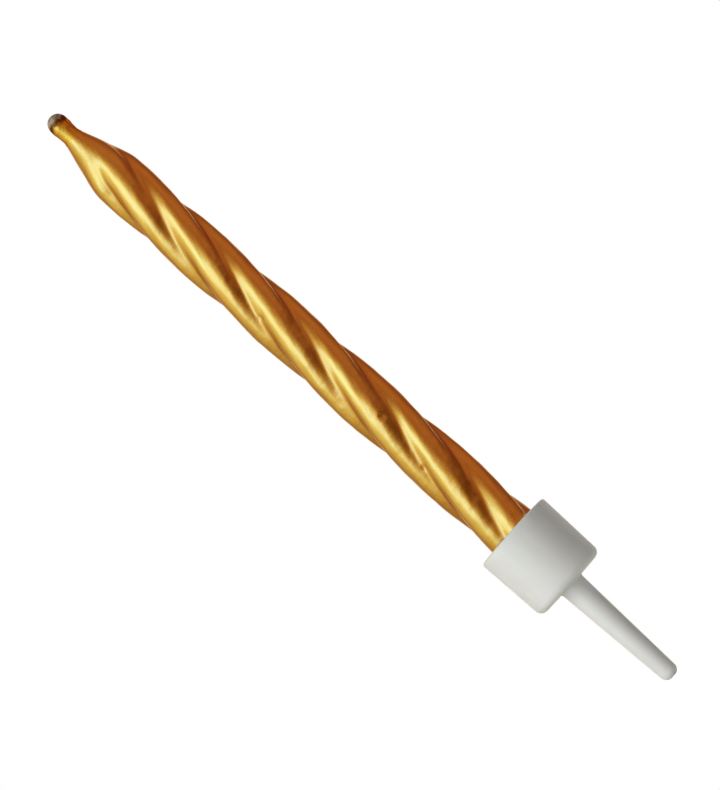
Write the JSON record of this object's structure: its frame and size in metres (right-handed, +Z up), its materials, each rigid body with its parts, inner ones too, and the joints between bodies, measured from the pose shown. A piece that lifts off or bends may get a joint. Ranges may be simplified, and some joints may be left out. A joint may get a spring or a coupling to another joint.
{
  "type": "birthday candle in a holder",
  "caption": "Spiral birthday candle with four twisted lobes and a coated wick end, standing in a moulded cup whose spike goes into a cake.",
  "frame": {"origin": "centre of the cup's flat underside, where the spike leaves it and where the cup meets the icing", "axes": "+Z up along the candle from the spike to the wick; X and Y square to it, with a crease between two lobes on +X at the candle's foot"},
  "size_m": [0.0084, 0.0084, 0.0792],
  "materials": {
    "gold_lacquered_wax": "wax under a bright metallic gold lacquer",
    "lacquered_wick": "cotton wick dipped in wax and gold lacquer, darker at the tip",
    "white_moulding": "satin off-white injection moulding"
  },
  "bodies": {
    "holder": {"holder": "white_moulding"},
    "candle": {"wax_body": "gold_lacquered_wax", "wick": "lacquered_wick"}
  },
  "joints": [
    {"name": "candle_pull", "type": "slide", "parent": "holder", "child": "candle", "axis": [0, 0, 1], "range_m": [0, 0.012]}
  ]
}
